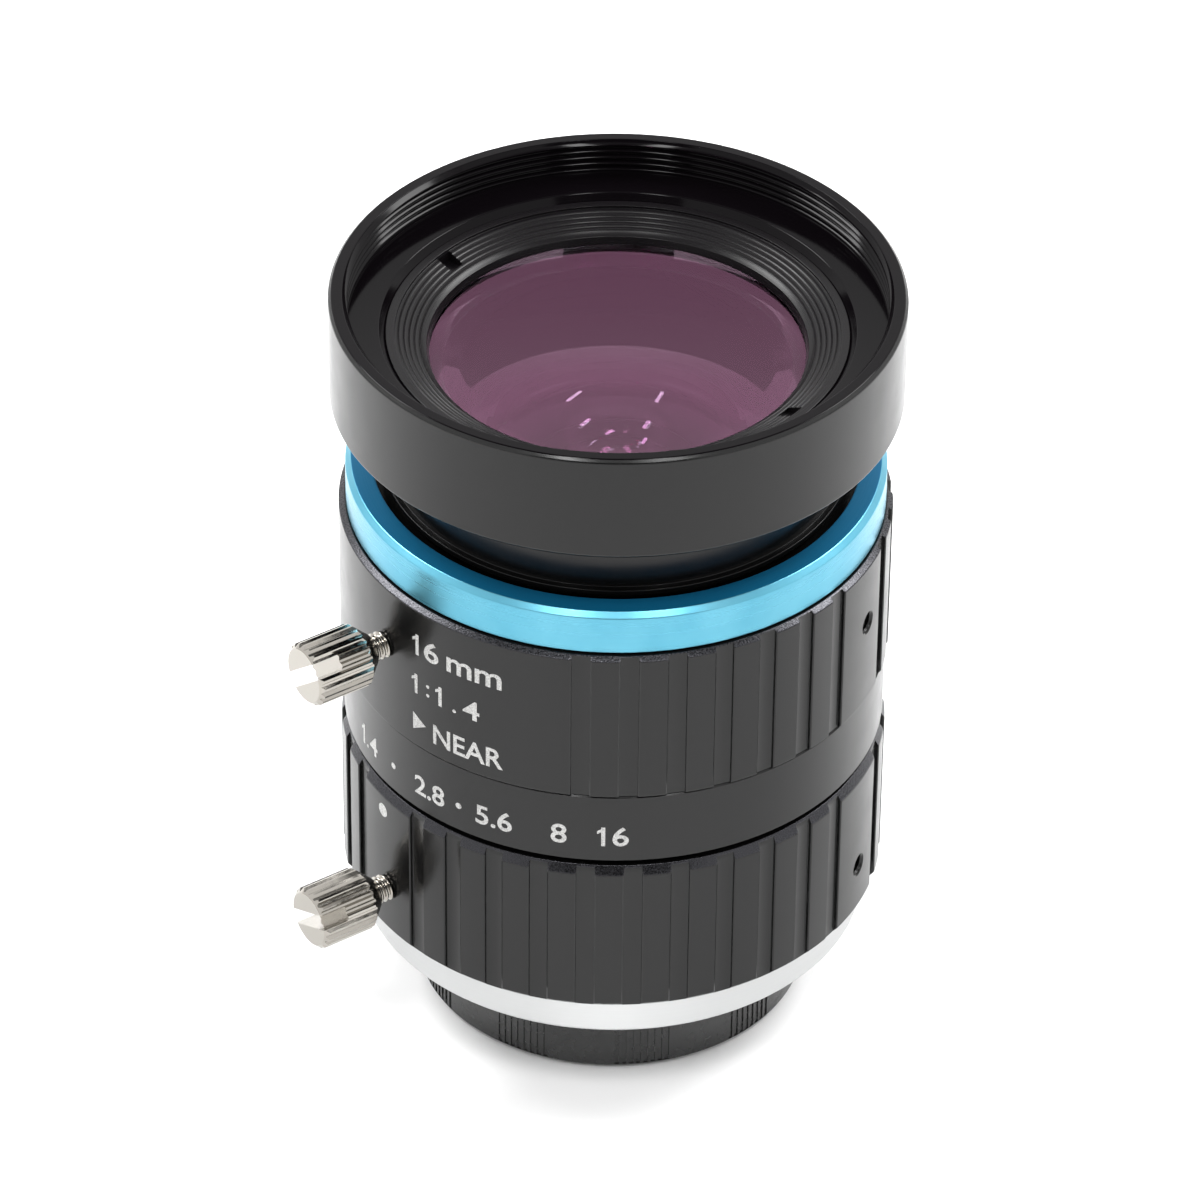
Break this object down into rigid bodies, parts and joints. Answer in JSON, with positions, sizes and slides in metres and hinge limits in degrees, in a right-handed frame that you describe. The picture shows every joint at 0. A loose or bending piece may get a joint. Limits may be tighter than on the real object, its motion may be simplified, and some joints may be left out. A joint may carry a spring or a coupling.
{
  "type": "c-mount machine vision lens",
  "caption": "Machine vision lens with a C-mount flange, lockable focus and aperture rings, a bladed iris, a filter thread and a rear dust cap.",
  "frame": {"origin": "centre of the mount flange face, on the optical axis", "axes": "+Z along the optical axis towards the front glass, -Y towards the aperture numbers"},
  "size_m": [0.0415, 0.039, 0.0568],
  "materials": {
    "black_anodised": "black anodised, satin",
    "blue_anodised": "blue anodised, satin",
    "bright_flange": "bright, finely turned",
    "brass": "turned",
    "steel": "turned",
    "nickel": "nickel plated, knurled",
    "blade_steel": "blackened",
    "coated_glass": "anti-reflection coated",
    "clear_glass": "polished",
    "black_plastic": "moulded"
  },
  "bodies": {
    "barrel": {"main_barrel": "black_anodised", "mount_flange": "bright_flange", "focus_stop_ring": "brass", "guide_key": "steel"},
    "focus_ring": {"focus_ring": "black_anodised", "helicoid_ring": "black_anodised", "accent_ring": "blue_anodised"},
    "focus_screw": {"focus_thumbscrew": "nickel"},
    "aperture_ring": {"aperture_ring": "black_anodised"},
    "aperture_screw": {"aperture_thumbscrew": "nickel"},
    "lens_cell": {"cell_tube": "black_anodised", "front_bezel": "black_anodised", "front_retainer": "black_anodised", "front_element": "coated_glass", "front_spacer": "black_anodised", "second_element": "clear_glass", "long_spacer": "black_anodised", "third_element": "clear_glass", "iris_base": "black_anodised", "iris_cover": "black_anodised", "rear_cell": "black_anodised", "rear_crown": "clear_glass", "rear_flint": "clear_glass", "rear_spacer": "black_anodised", "rear_element": "coated_glass", "rear_retainer": "black_anodised"},
    "iris_drive": {"iris_drive_ring": "brass", "aperture_pin": "steel"},
    "blade_1": {"iris_blade_1": "blade_steel"},
    "blade_2": {"iris_blade_2": "blade_steel"},
    "blade_3": {"iris_blade_3": "blade_steel"},
    "blade_4": {"iris_blade_4": "blade_steel"},
    "blade_5": {"iris_blade_5": "blade_steel"},
    "rear_cap": {"rear_cap": "black_plastic"}
  },
  "joints": [
    {"name": "focus_turn", "type": "hinge", "parent": "barrel", "child": "focus_ring", "pos_m": [0, 0, 0.0275], "axis": [0, 0, 1], "range_deg": [0, 120]},
    {"name": "cell_slide", "type": "slide", "parent": "barrel", "child": "lens_cell", "axis": [0, 0, 1], "range_m": [0, 0.0014]},
    {"name": "focus_screw_turn", "type": "hinge", "parent": "focus_ring", "child": "focus_screw", "pos_m": [-0.01966, -0.01377, 0.0284], "axis": [-0.8192, -0.5736, 0], "range_deg": [-360, 216]},
    {"name": "aperture_turn", "type": "hinge", "parent": "barrel", "child": "aperture_ring", "pos_m": [0, 0, 0.0095], "axis": [0, 0, 1], "range_deg": [-6.6, 56.5]},
    {"name": "aperture_screw_turn", "type": "hinge", "parent": "aperture_ring", "child": "aperture_screw", "pos_m": [-0.01966, -0.01377, 0.0072], "axis": [-0.8192, -0.5736, 0], "range_deg": [-360, 216]},
    {"name": "iris_turn", "type": "hinge", "parent": "lens_cell", "child": "iris_drive", "pos_m": [0, 0, 0.01325], "axis": [0, 0, 1], "range_deg": [-6.6, 56.5]},
    {"name": "blade_1_swing", "type": "hinge", "parent": "lens_cell", "child": "blade_1", "pos_m": [0.0113, 0, 0.0141], "axis": [0, 0, 1], "range_deg": [-3.2, 26.9]},
    {"name": "blade_2_swing", "type": "hinge", "parent": "lens_cell", "child": "blade_2", "pos_m": [0.00349, 0.01075, 0.0142], "axis": [0, 0, 1], "range_deg": [-3.2, 26.9]},
    {"name": "blade_3_swing", "type": "hinge", "parent": "lens_cell", "child": "blade_3", "pos_m": [-0.00914, 0.00664, 0.0144], "axis": [0, 0, 1], "range_deg": [-3.2, 26.9]},
    {"name": "blade_4_swing", "type": "hinge", "parent": "lens_cell", "child": "blade_4", "pos_m": [-0.00914, -0.00664, 0.0145], "axis": [0, 0, 1], "range_deg": [-3.2, 26.9]},
    {"name": "blade_5_swing", "type": "hinge", "parent": "lens_cell", "child": "blade_5", "pos_m": [0.00349, -0.01075, 0.0147], "axis": [0, 0, 1], "range_deg": [-3.2, 26.9]},
    {"name": "cap_slide", "type": "slide", "parent": "barrel", "child": "rear_cap", "axis": [0, 0, -1], "range_m": [0, 0.012]}
  ],
  "couplings": [
    {"joint": "focus_turn", "follows": "cell_slide", "rad_per_m": 1496},
    {"joint": "iris_turn", "follows": "aperture_turn", "ratio": 1},
    {"joint": "blade_1_swing", "follows": "aperture_turn", "ratio": 0.47382},
    {"joint": "blade_2_swing", "follows": "aperture_turn", "ratio": 0.47382},
    {"joint": "blade_3_swing", "follows": "aperture_turn", "ratio": 0.47382},
    {"joint": "blade_4_swing", "follows": "aperture_turn", "ratio": 0.47382},
    {"joint": "blade_5_swing", "follows": "aperture_turn", "ratio": 0.47382}
  ]
}
